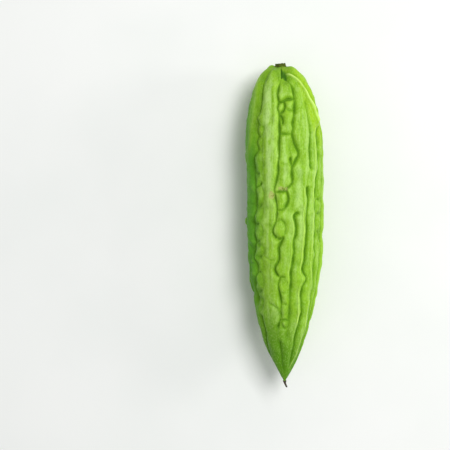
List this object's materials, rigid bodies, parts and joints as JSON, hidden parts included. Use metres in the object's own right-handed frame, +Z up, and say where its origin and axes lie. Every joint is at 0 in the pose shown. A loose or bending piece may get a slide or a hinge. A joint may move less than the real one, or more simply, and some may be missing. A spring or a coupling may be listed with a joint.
{
  "type": "bitter melon",
  "caption": "Long green bitter melon, as picked, with lengthwise ridges and rows of smooth warts between them, a cut stalk stub and a dried flower tip, lying on its side.",
  "frame": {"origin": "on the surface the fruit lies on, under the middle of its length and width", "axes": "+X along the fruit towards the stem end, +Z up; the side that faces the viewer in the picture faces up"},
  "size_m": [0.2136, 0.0519, 0.0505],
  "materials": {
    "green_skin": "waxy green fruit skin, satin",
    "dry_cork": "dry corky cut stalk, matt",
    "dried_flower": "dried brown flower remnant, matt"
  },
  "bodies": {
    "root": {"fruit": "green_skin", "stalk_stub": "dry_cork", "flower_remnant": "dried_flower"}
  },
  "joints": []
}
